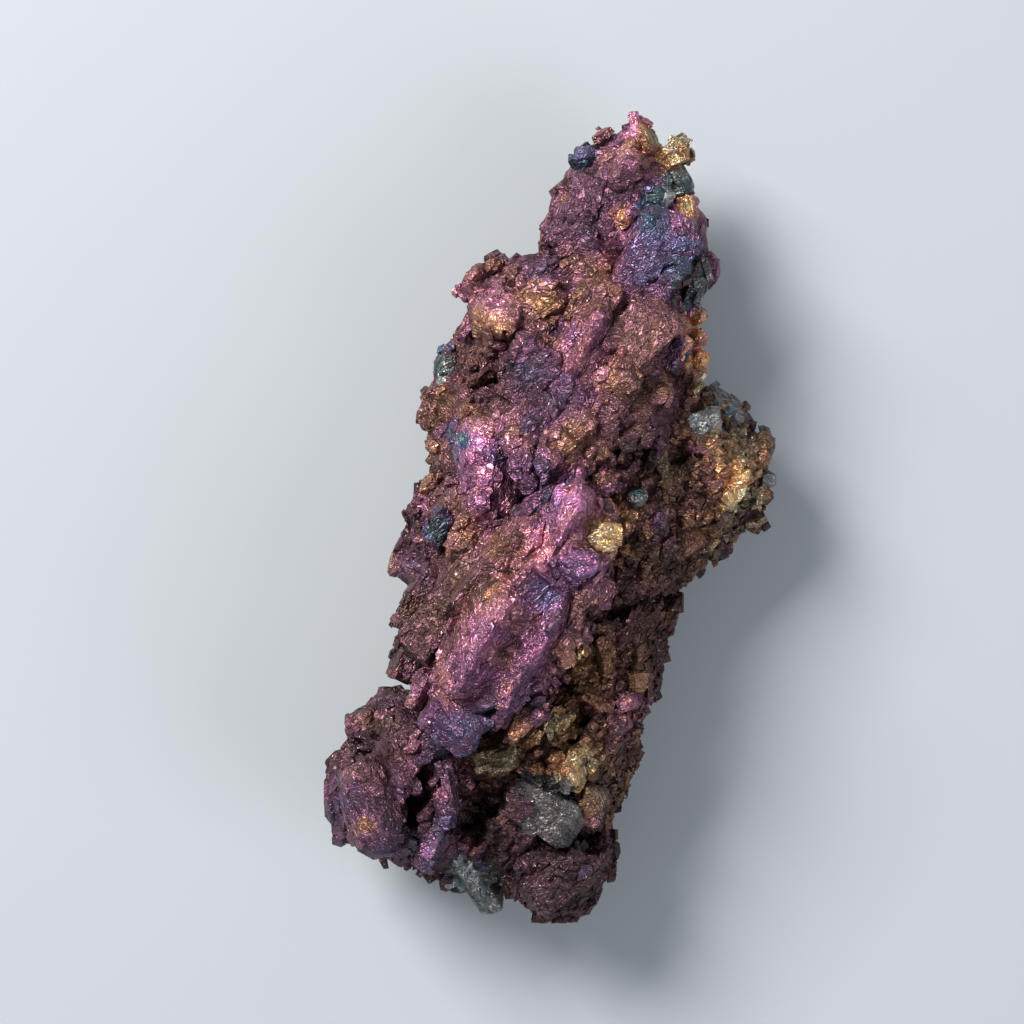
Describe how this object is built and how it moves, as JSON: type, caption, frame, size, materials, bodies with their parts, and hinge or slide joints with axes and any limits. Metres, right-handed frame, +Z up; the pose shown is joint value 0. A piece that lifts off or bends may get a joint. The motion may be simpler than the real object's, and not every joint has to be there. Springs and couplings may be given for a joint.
{
  "type": "chalcocite specimen",
  "caption": "Rough natural mass of intergrown, iridescent tarnished crystals, narrow at one end, lying flat on a small worn spot with its ridge side up.",
  "frame": {"origin": "under the middle of the specimen's box, on the surface that it rests on", "axes": "+Z up, away from the resting spot; +Y along the length, towards the narrow spire; +X towards the side lobe with the gold patches"},
  "size_m": [0.0286, 0.0512, 0.0181],
  "materials": {
    "tarnished_sulphide": "satin"
  },
  "bodies": {
    "root": {"chalcocite": "tarnished_sulphide"}
  },
  "joints": []
}
